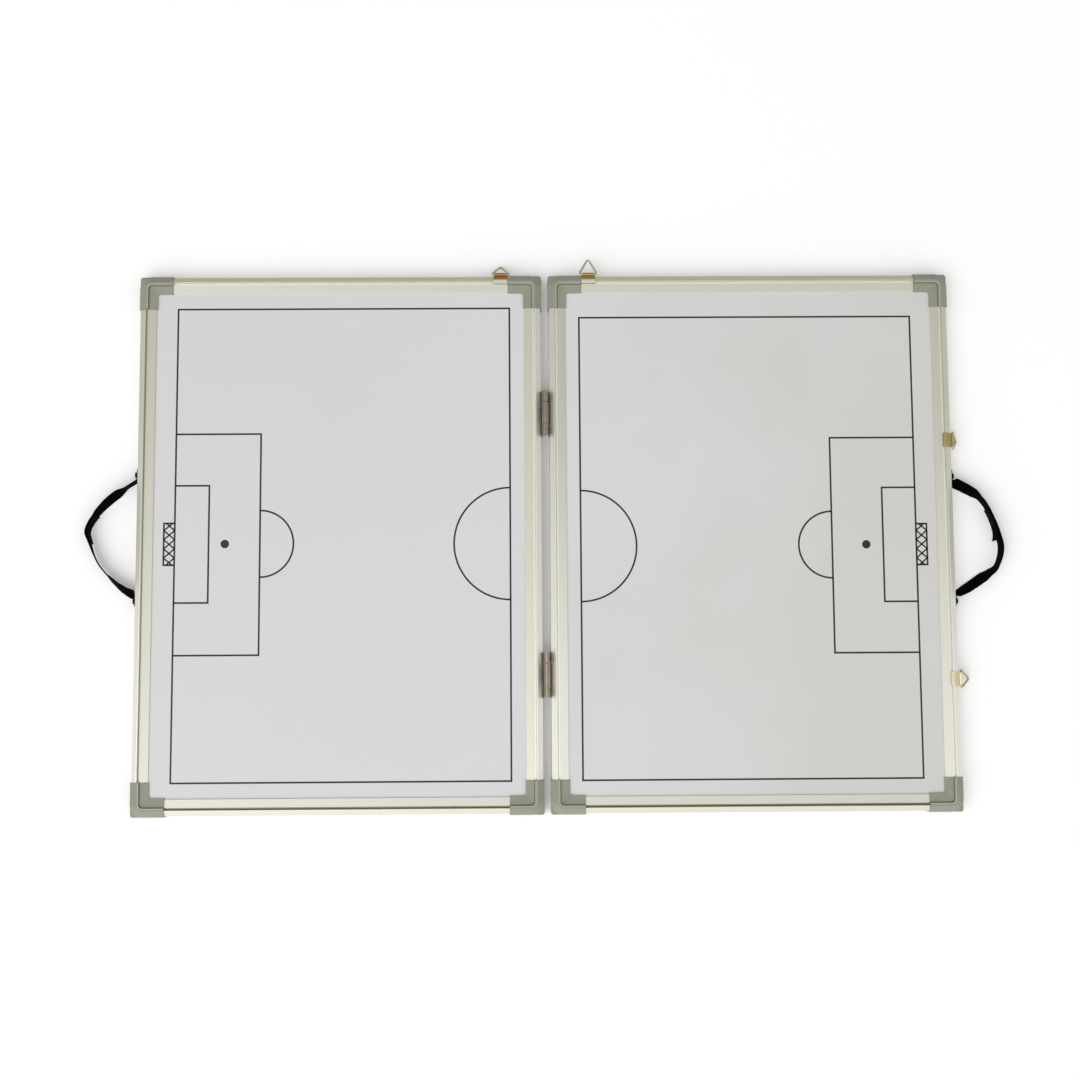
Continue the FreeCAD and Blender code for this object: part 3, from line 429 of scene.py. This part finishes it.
# the metals: their two tones, the size of their mottling in mm, their roughness and the depth
# of their rub marks. the shade in the gap between the panels is painted: it starts at a distance from the middle line
# in x and reaches up to a height;
# the crown's painted highlight runs from a height upwards
# a near-white painted highlight on the top clips' crowns, where each clip wraps over the ridge
clipCrownHighlight = {"colour": "#F6F3EA", "from": 22.5}
metals = {
    # mill-finished sheet: a soft, even grey sheen
    "rolledAluminiumSheet": {
        "on": ["_back_sheet"],
        "light": "#CFD0D1", "dark": "#C0C1C2", "mottle": 40.0, "rough": (0.34, 0.46), "depth": 0.03},
    # tarnished nickel: warm and glossy, with painted shade on the leaves in the gap between the panels
    "nickelPlatedSteel": {
        "on": ["_leaf"], "grime": {"colour": "#443E35", "from": 2.95, "upTo": 20.5},
        "light": "#B4A993", "dark": "#8B8173", "mottle": 9.0, "rough": (0.26, 0.34), "depth": 0.006},
    # a nearly black pin: painted shade where it shows between the knuckles
    "shadedSteelPin": {
        "on": ["_pin"],
        "light": "#4A4640", "dark": "#35322D", "mottle": 3.0, "rough": (0.3, 0.4), "depth": 0.01},
    # brass plate, one plating in four tones, one per clip: pale, dull, brown and copper are painted reflections of the
    # room, palest on the clip nearest the light
    "brassPlatePaleReflection": {
        "on": ["lower_side_hanger_clip"],
        "light": "#F5F0CE", "dark": "#E6DDB0", "mottle": 8.0, "rough": (0.32, 0.38), "depth": 0.005},
    "brassPlateDullReflection": {
        "on": ["upper_side_hanger_clip"],
        "light": "#CBB684", "dark": "#AC9863", "mottle": 8.0, "rough": (0.34, 0.4), "depth": 0.005},
    "brassPlateBrownReflection": {
        "on": ["top_right_hanger_clip"], "crown": clipCrownHighlight,
        "light": "#C2AE6C", "dark": "#A48E4E", "mottle": 8.0, "rough": (0.32, 0.38), "depth": 0.005},
    "brassPlateCopperReflection": {
        "on": ["top_left_hanger_clip"], "crown": clipCrownHighlight,
        "light": "#B88F5A", "dark": "#946B38", "mottle": 8.0, "rough": (0.32, 0.38), "depth": 0.005},
    # yellowed nickel wire with sharp glints
    "nickelPlatedWire": {
        "on": ["_hanger_ring"],
        "light": "#C6C5AE", "dark": "#A6A48C", "mottle": 3.0, "rough": (0.25, 0.38), "depth": 0.03},
    # black oxide: dark, with a dull edge light
    "blackenedSteel": {
        "on": ["_strap_washers", "_strap_screws"],
        "light": "#2A2A2B", "dark": "#1A1A1B", "mottle": 2.0, "rough": (0.35, 0.5), "depth": 0.03},
    # pale, cool zinc
    "zincPlatedSteel": {
        "on": ["_hinge_screws"],
        "light": "#C4C6C4", "dark": "#A3A6A2", "mottle": 2.0, "rough": (0.25, 0.4), "depth": 0.03},
}


def mottledMetal(name, metal):
    # Plated, rolled or blackened metal: cloudy tarnish, and fine rub marks that vary its gloss.
    look = {"rubShare": 0.3, "rubBump": 0.15, "grimeFade": 0.3, "grimeTopFade": 0.8, "crownFade": 0.5}
    material, tree, shader = newFinish(name, Metallic=1.0)
    place = addNode(tree, "TexCoord").outputs["Object"]
    size = metal["mottle"] * mm
    cloud = addNode(tree, "TexNoise", {"Vector": place, "Scale": 1 / size, "Detail": 4.0})
    rub = addNode(tree, "TexNoise", {"Vector": place, "Scale": 1 / (look["rubShare"] * size), "Detail": 2.0})
    tones = {0: cloud.outputs[0], 6: linear(metal["dark"]), 7: linear(metal["light"])}
    tone = addNode(tree, "Mix", tones, data_type="RGBA")
    axis = addNode(tree, "SeparateXYZ", {"Vector": place})
    # painted shade on the leaves outside the knuckle and below a height, in the gap between the panels
    if "grime" in metal:
        grime = metal["grime"]
        aside = addNode(tree, "Math", {0: axis.outputs["X"]}, operation="ABSOLUTE")
        start, end = grime["from"] * mm, (grime["from"] + look["grimeFade"]) * mm
        share = addNode(tree, "MapRange", {"Value": aside.outputs[0], "From Min": start, "From Max": end})
        start, end = grime["upTo"] * mm, (grime["upTo"] - look["grimeTopFade"]) * mm
        low = addNode(tree, "MapRange", {"Value": axis.outputs["Z"], "From Min": start, "From Max": end})
        share = addNode(tree, "Math", {0: share.outputs[0], 1: low.outputs[0]}, operation="MULTIPLY")
        tones = {0: share.outputs[0], 6: tone.outputs[2], 7: linear(grime["colour"])}
        tone = addNode(tree, "Mix", tones, data_type="RGBA")
    # a painted highlight on the crown, from a height upwards
    if "crown" in metal:
        crown = metal["crown"]
        start, end = (crown["from"] - look["crownFade"]) * mm, crown["from"] * mm
        share = addNode(tree, "MapRange", {"Value": axis.outputs["Z"], "From Min": start, "From Max": end})
        tones = {0: share.outputs[0], 6: tone.outputs[2], 7: linear(crown["colour"])}
        tone = addNode(tree, "Mix", tones, data_type="RGBA")
    low, high = metal["rough"]
    worn = addNode(tree, "MapRange", {"Value": rub.outputs[0], "To Min": low, "To Max": high})
    rubs = {"Height": rub.outputs[0], "Strength": look["rubBump"], "Distance": metal["depth"] * mm}
    bump = addNode(tree, "Bump", rubs)
    feed(tree, shader, Base_Color=tone.outputs[2], Roughness=worn.outputs[0], Normal=bump.outputs[0])
    return material


def honeycombBoard():
    # Paper honeycomb core: brown kraft with a cell pattern.
    look = {"paper": "#A98B62", "wall": "#86683F", "cell": 10.0, "wallShare": 0.12}
    material, tree, shader = newFinish("honeycombBoard", Roughness=0.85)
    place = addNode(tree, "TexCoord").outputs["Object"]
    grid = {"Vector": place, "Scale": 1 / (look["cell"] * mm)}
    cells = addNode(tree, "TexVoronoi", grid, feature="DISTANCE_TO_EDGE")
    wall = addNode(tree, "MapRange", {"Value": cells.outputs[0], "From Max": look["wallShare"]})
    tones = {0: wall.outputs[0], 6: linear(look["wall"]), 7: linear(look["paper"])}
    tone = addNode(tree, "Mix", tones, data_type="RGBA")
    feed(tree, shader, Base_Color=tone.outputs[2])
    return material


for ending, railShading in railLightAndShade.items():
    words = ending.replace("_rail", "").split("_")
    dress(anodisedAluminium("anodisedAluminium" + "".join(word.capitalize() for word in words), railShading), ending)
for name, lacquer in lacquers.items():
    dress(lacqueredSteel(name, lacquer), lacquer["on"])
for name, metal in metals.items():
    dress(mottledMetal(name, metal), *metal["on"])
dress(mouldedAbs(), "_cap")
dress(honeycombBoard(), "_core")
print("CAD nodes dressed")


# printed pitch

# edge and spotEdge are how far the film's flat top reaches, as shares of half a line's width
# and of the spot's radius; netLine is the net's share of a line's width
printLook = {
    "line": 2.05, "netLine": 0.85, "netGap": 10.2, "rise": 0.05, "sink": 0.03, "edge": 0.94, "spotEdge": 0.96,
    "ink": "#161519", "worn": "#212024", "patch": 6.0, "arcSteps": 72,
}
leftPitch = {
    "side": -1, "halfway": 39.7, "goalLine": 412.2, "low": -264.4, "high": 263.6, "middle": -2.0,
    "penaltyLine": 317.7, "penaltyHalf": 123.3, "areaLine": 374.5, "areaHalf": 65.3,
    "goalBack": 424.2, "goalHalf": 23.3, "spot": 356.5, "spotRadius": 4.8,
    "arcRadius": 37.2, "circleRadius": 62.5, "circleMiddle": -3.0,
}
rightPitch = {
    "side": 1, "halfway": 38.7, "goalLine": 412.7, "low": -264.2, "high": 252.5, "middle": -6.3,
    "penaltyLine": 318.7, "penaltyHalf": 120.3, "areaLine": 375.7, "areaHalf": 63.8,
    "goalBack": 424.6, "goalHalf": 22.9, "spot": 356.8, "spotRadius": 4.8,
    "arcRadius": 37.2, "circleRadius": 62.0, "circleMiddle": -6.3,
}


def printedInk():
    # Screen printed ink: a near-black film, a little uneven and duller than the lacquer.
    material, tree, shader = newFinish("printedInk", IOR=1.5, Roughness=0.4)
    place = addNode(tree, "TexCoord").outputs["Object"]
    patch = addNode(tree, "TexNoise", {"Vector": place, "Scale": 1 / (printLook["patch"] * mm), "Detail": 3.0})
    tones = {0: patch.outputs[0], 6: linear(printLook["ink"]), 7: linear(printLook["worn"])}
    tone = addNode(tree, "Mix", tones, data_type="RGBA")
    feed(tree, shader, Base_Color=tone.outputs[2])
    return material


def inkLine(path, closed, top, line):
    # A flat strip with its edges drawn in a little, carried along the path. At a corner the strip's edge
    # runs along the mean of the two normals, longer by one over the cosine of half the turn.
    path = np.asarray(path, float)
    step = np.diff(path, axis=0, append=path[:1])
    step /= np.linalg.norm(step, axis=1)[:, None]
    before = np.roll(step, 1, 0)
    if not closed:
        step[-1] = before[-1]
        before[0] = step[0]
    normalA = before @ np.array([[0, 1], [-1, 0]])
    normalB = step @ np.array([[0, 1], [-1, 0]])
    mitre = (normalA + normalB) / (1 + (normalA * normalB).sum(1))[:, None]
    reach = np.array([-1, -printLook["edge"], printLook["edge"], 1]) * line / 2
    low, high = top - printLook["sink"] * mm, top + printLook["rise"] * mm
    flat = path[:, None] + mitre[:, None] * reach[None, :, None] * mm
    height = np.broadcast_to(np.array([low, high, high, low])[None, :, None], (*flat.shape[:2], 1))
    return np.concatenate((flat, height), 2), closed


def inkSpot(centre, radius, top):
    # A disc: the profile from the middle out and back, turned about the centre.
    turn = np.linspace(0, 2 * np.pi, printLook["arcSteps"], endpoint=False)
    reach = np.array([0, 1, printLook["spotEdge"], 0]) * radius * mm
    low, high = top - printLook["sink"] * mm, top + printLook["rise"] * mm
    x = centre[0] + np.cos(turn)[:, None] * reach
    y = centre[1] + np.sin(turn)[:, None] * reach
    return np.stack((x, y, np.broadcast_to(np.array([low, low, high, high]), x.shape)), 2), True


def pitchPrint(name, pitch, sheet, ink):
    # Half a pitch as ink lines on the sheet: its border, the boxes, two half circles, and the goal.
    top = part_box(sheet)[1].z
    line = printLook["line"]

    def spot(far, up):
        return (pitch["side"] * far * mm, up * mm + panelMiddle)

    def threeSides(reach, halfHeight):
        low, high = pitch["middle"] - halfHeight, pitch["middle"] + halfHeight
        ends = [(pitch["goalLine"], low), (reach, low), (reach, high), (pitch["goalLine"], high)]
        return [spot(*end) for end in ends]

    def halfRound(far, up, radius, bulge):
        turn = np.linspace(-np.pi / 2, np.pi / 2, printLook["arcSteps"])
        return [spot(far + bulge * radius * np.cos(a), up + radius * np.sin(a)) for a in turn]

    corners = [(pitch["halfway"], pitch["low"]), (pitch["goalLine"], pitch["low"]),
               (pitch["goalLine"], pitch["high"]), (pitch["halfway"], pitch["high"])]
    grids = [inkLine([spot(*corner) for corner in corners], True, top, line)]
    openLines = [
        threeSides(pitch["penaltyLine"], pitch["penaltyHalf"]),
        threeSides(pitch["areaLine"], pitch["areaHalf"]),
        threeSides(pitch["goalBack"], pitch["goalHalf"]),
        halfRound(pitch["penaltyLine"], pitch["middle"], pitch["arcRadius"], -1),
        halfRound(pitch["halfway"], pitch["circleMiddle"], pitch["circleRadius"], 1),
    ]
    grids += [inkLine(path, False, top, line) for path in openLines]
    grids.append(inkSpot(spot(pitch["spot"], pitch["middle"]), pitch["spotRadius"], top))
    # the net is five crosses in a row, the outer two cut off by the goal
    depth = pitch["goalBack"] - pitch["goalLine"]
    for count in range(-2, 3):
        for slant in (-0.5, 0.5):
            start, rise = printLook["netGap"] * (count - slant), 2 * printLook["netGap"] * slant
            cut = np.clip((start, start + rise), -pitch["goalHalf"], pitch["goalHalf"])
            far = pitch["goalLine"] + depth * (cut - start) / rise
            ends = [spot(*end) for end in zip(far, pitch["middle"] + cut)]
            grids.append(inkLine(ends, False, top, line * printLook["netLine"]))
    return meshPiece(name, grids, ink)


ink = printedInk()
for name, pitch, sheet, body in (
    ("left_pitch_print", leftPitch, "left_writing_sheet", "left_panel"),
    ("right_pitch_print", rightPitch, "right_writing_sheet", "right_panel"),
):
    piece = pitchPrint(name, pitch, sheet, ink)
    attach(piece, body)
print("pitch printed")


# webbing handles

# a route's points are (out from the rail's side, up from the panel's middle) in mm; a lean is
# (share of the run, degrees); loose is how far the lower end of the lap stands off the strap
webbing = {
    "width": 15.0, "thickness": 1.6, "height": 9.0, "ribGap": 1.9, "ribDepth": 0.07, "looseRun": 14.0,
    "acrossPower": 0.35, "thickPower": 0.55, "step": 0.4, "around": 44, "spanSteps": 60, "smooth": 50,
}
leftHandle = {
    "name": "left", "side": -1,
    "route": [(0.8, 82.7), (0.8, 74.2), (0.8, 70.7), (12.8, 63.6), (34.7, 47.6), (51.2, 28.4), (58.4, 14), (54.9, 4),
              (46.4, -19.9), (33.5, -36), (15.6, -52.2), (0.8, -58.8), (0.8, -62.3), (0.8, -70.8)],
    "lean": [(0, 0), (0.13, 0), (0.2, 26), (0.25, 25), (0.33, 18), (0.38, 7), (0.46, 4), (0.53, -4), (0.62, -10),
             (0.72, -8), (0.8, -22), (0.87, -33), (0.92, -42), (0.945, 0), (1, 0)],
    "overlap": (0.36, 0.54),
    "loose": 0.0,
}
rightHandle = {
    "name": "right", "side": 1,
    "route": [(0.8, 77.2), (0.8, 68.7), (0.8, 65.2), (12.8, 59.9), (34.2, 47.4), (46.1, 26.1), (53, 4.2), (56.4, -11.4),
              (50.3, -31.6), (40, -38.7), (15.5, -55.6), (0.8, -63.5), (0.8, -67), (0.8, -75.5)],
    "lean": [(0, 0), (0.056, 0), (0.08, 38), (0.15, 35), (0.19, 30), (0.25, 6), (0.36, 2), (0.46, 7), (0.56, 9),
             (0.64, 8), (0.7, 26), (0.76, 44), (0.86, 41), (0.92, 29), (0.944, 0), (1, 0)],
    "overlap": (0.32, 0.5),
    "loose": 4.0,
}
stitching = {
    "pitch": 3.2, "length": 2.5, "thread": 0.3, "lift": 0.28, "sunk": 0.12, "inset": 2.0, "rowGap": 3.2,
    "twistGap": 0.7, "colour": "#0E0E10", "twist": "#060607", "sides": 6, "archSteps": 6, "smooth": 60,
}


def smoothRoute(controls):
    # Quadratic B-spline over the control points: its fine points, and the run along them.
    points = np.asarray(controls, float)
    points = np.concatenate((points[:1], points, points[-1:]))
    t = np.linspace(0, 1, webbing["spanSteps"], endpoint=False)[None, :, None]
    a, b, c = points[:-2, None], points[1:-1, None], points[2:, None]
    curve = (0.5 * (1 - t) ** 2 * a + (0.5 + t * (1 - t)) * b + 0.5 * t ** 2 * c).reshape(-1, 2)
    curve = np.concatenate((curve, ((points[-2] + points[-1]) / 2)[None]))
    return curve, np.concatenate(([0], np.linalg.norm(np.diff(curve, axis=0), axis=1).cumsum()))


def easedLean(stations, share):
    # Angles between stations follow a smoothstep, so the twist starts and ends gently.
    at, angle = np.array(stations, float).T
    low = np.clip(np.searchsorted(at, share, side="right") - 1, 0, len(at) - 2)
    t = (share - at[low]) / (at[low + 1] - at[low])
    t = t * t * (3 - 2 * t)
    return np.radians(angle[low] + (angle[low + 1] - angle[low]) * t)


def handleFrame(handle):
    # The route cut into equal steps: its centre line, and at each step the directions along,
    # up across the width, and out of the outer face.
    curve, run = smoothRoute(handle["route"])
    count = int(round(run[-1] / webbing["step"])) + 1
    even = np.linspace(0, run[-1], count)
    far, high = (np.interp(even, run, curve[:, i]) for i in (0, 1))
    outer = abs(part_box(handle["name"] + "_outer_rail")[0 if handle["side"] < 0 else 1].x)
    x = handle["side"] * (outer + far * mm)
    y = high * mm + panelMiddle
    centre = np.stack((x, y, np.full(count, webbing["height"] * mm)), 1)
    along = np.gradient(centre, axis=0)
    along /= np.linalg.norm(along, axis=1)[:, None]
    up = np.array([0.0, 0.0, 1.0])
    out = np.cross(along, up) * -handle["side"]
    lean = easedLean(handle["lean"], np.linspace(0, 1, count))[:, None]
    wide = np.cos(lean) * up + np.sin(lean) * out
    face = np.cos(lean) * out - np.sin(lean) * up
    return (centre, along, wide, face), run[-1]


def webbingBand(centre, wide, face, offset=0.0):
    # A flat loop with round selvedges, |cos| to a low power by |sin| to a low power, ribbed along the run.
    count = len(centre)
    turn = np.linspace(0, 2 * np.pi, webbing["around"], endpoint=False)
    across = np.sign(np.cos(turn)) * np.abs(np.cos(turn)) ** webbing["acrossPower"]
    thick = np.sign(np.sin(turn)) * np.abs(np.sin(turn)) ** webbing["thickPower"]
    run = np.arange(count) * webbing["step"]
    dip = webbing["ribDepth"] * (0.5 + 0.5 * np.cos(2 * np.pi * run / webbing["ribGap"]))
    rib = 0.5 * webbing["thickness"] - dip
    inWide = 0.5 * webbing["width"] * across[None, :, None] * wide[:, None]
    inFace = (rib[:, None] * thick[None] + np.broadcast_to(offset, count)[:, None])[:, :, None] * face[:, None]
    return centre[:, None] + (inWide + inFace) * mm


def wovenNylon():
    # Woven black nylon webbing: crosswise ribs with fine warp threads, and almost no gloss.
    # A wave repeats at every second thread, as one rises and the next dips.
    look = {"thread": "#080809", "gap": "#020202", "warp": 0.8, "weft": 1.9, "bump": 0.5, "depth": 0.2}
    material, tree, shader = newFinish("wovenNylon", Roughness=0.85, Specular_IOR_Level=0.03)
    run = addNode(tree, "UVMap", uv_map="run").outputs[0]
    warps = {"Vector": run, "Scale": np.pi / (20 * look["warp"] * mm)}
    wefts = {"Vector": run, "Scale": np.pi / (20 * look["weft"] * mm)}
    warp = addNode(tree, "TexWave", warps, bands_direction="Y").outputs["Fac"]
    weft = addNode(tree, "TexWave", wefts, bands_direction="X").outputs["Fac"]
    weave = addNode(tree, "Math", {0: warp, 1: weft}, operation="MULTIPLY").outputs[0]
    tones = {0: weave, 6: linear(look["gap"]), 7: linear(look["thread"])}
    tone = addNode(tree, "Mix", tones, data_type="RGBA")
    bump = addNode(tree, "Bump", {"Height": weave, "Strength": look["bump"], "Distance": look["depth"] * mm})
    feed(tree, shader, Base_Color=tone.outputs[2], Normal=bump.outputs[0])
    return material


def twistedThread():
    # Bonded polyester sewing thread: black, with a slanting twist and a faint shine.
    look = {"bump": 0.4, "depth": 0.05}
    material, tree, shader = newFinish("twistedThread", Roughness=0.6, Specular_IOR_Level=0.12)
    run = addNode(tree, "UVMap", uv_map="run").outputs[0]
    turns = {"Vector": run, "Scale": np.pi / (20 * stitching["twistGap"] * mm)}
    twist = addNode(tree, "TexWave", turns, bands_direction="DIAGONAL").outputs["Fac"]
    tones = {0: twist, 6: linear(stitching["twist"]), 7: linear(stitching["colour"])}
    tone = addNode(tree, "Mix", tones, data_type="RGBA")
    bump = addNode(tree, "Bump", {"Height": twist, "Strength": look["bump"], "Distance": look["depth"] * mm})
    feed(tree, shader, Base_Color=tone.outputs[2], Normal=bump.outputs[0])
    return material


def lapStitches(centre, along, wide, face, depth):
    # A sewn box on the overlap: two rows along its selvedges and two rows across near each of its ends.
    # depth is how far the cloth's surface lies from the centre line, and its sign says which face it is.
    reach = webbing["width"] / 2 - stitching["inset"]
    ends = int(stitching["inset"] / webbing["step"])
    rows = np.arange(ends, len(centre) - ends, stitching["pitch"] / webbing["step"]).round().astype(int)
    outward = np.sign(depth)
    parts = []
    for across in (-reach, reach):
        at = centre[rows] + (across * wide[rows] + depth * face[rows]) * mm
        parts.append((at, along[rows], outward * face[rows]))
    spread = np.arange(-reach + 0.5 * stitching["pitch"], reach, stitching["pitch"])
    gap = int(stitching["rowGap"] / webbing["step"])
    for row in (rows[0], rows[0] + gap, rows[-1] - gap, rows[-1]):
        at = centre[row] + (spread[:, None] * wide[row] + depth * face[row]) * mm
        onward, off = (np.tile(way, (len(spread), 1)) for way in (wide[row], outward * face[row]))
        parts.append((at, onward, off))
    return [np.concatenate(part) for part in zip(*parts)]


def threadArches(at, onward, outward):
    # One thread arch per stitch: a round section carried from hole to hole, its height a half cosine.
    turn = np.linspace(0, 2 * np.pi, stitching["sides"], endpoint=False)
    share = np.linspace(-0.5, 0.5, stitching["archSteps"])
    rise = stitching["lift"] * np.cos(np.pi * share) - stitching["sunk"]
    sideways = np.cross(onward, outward)
    lengthways = share[None, :, None] * stitching["length"] * onward[:, None]
    spine = at[:, None] + (lengthways + rise[None, :, None] * outward[:, None]) * mm
    ring = np.cos(turn)[None, :, None] * sideways[:, None] + np.sin(turn)[None, :, None] * outward[:, None]
    arches = spine[:, :, None] + stitching["thread"] * mm * ring[:, None]
    return [(arch, False) for arch in arches]


nylon = wovenNylon()
thread = twistedThread()
thickness = webbing["thickness"]
for handle in (leftHandle, rightHandle):
    name, body = handle["name"], handle["name"] + "_panel"
    (centre, along, wide, face), length = handleFrame(handle)
    strap = meshPiece(name + "_webbing", [(webbingBand(centre, wide, face), False)], nylon, webbing["smooth"])
    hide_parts(name + "_strap")
    first, last = (int(share * (len(centre) - 1)) for share in handle["overlap"])
    lapped = [array[first:last + 1] for array in (centre, along, wide, face)]
    # the loose end stands off by the square of its share of the loose run
    looseSteps = int(webbing["looseRun"] / webbing["step"]) if handle["loose"] else 0
    off = np.full(last + 1 - first, -thickness)
    if looseSteps:
        off[-looseSteps:] -= handle["loose"] * np.linspace(0, 1, looseSteps) ** 2
    band = webbingBand(lapped[0], lapped[2], lapped[3], off)
    lap = meshPiece(name + "_webbing_lap", [(band, False)], nylon, webbing["smooth"])
    sewn = [array[:len(off) - looseSteps] for array in lapped]
    arches = threadArches(*lapStitches(*sewn, 0.5 * thickness))
    arches += threadArches(*lapStitches(*sewn, -1.5 * thickness))
    seam = meshPiece(name + "_webbing_stitches", arches, thread, stitching["smooth"])
    for piece in (strap, lap, seam):
        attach(piece, body)
    print(name, "handle", round(length, 1), "mm long,", len(arches), "stitches")
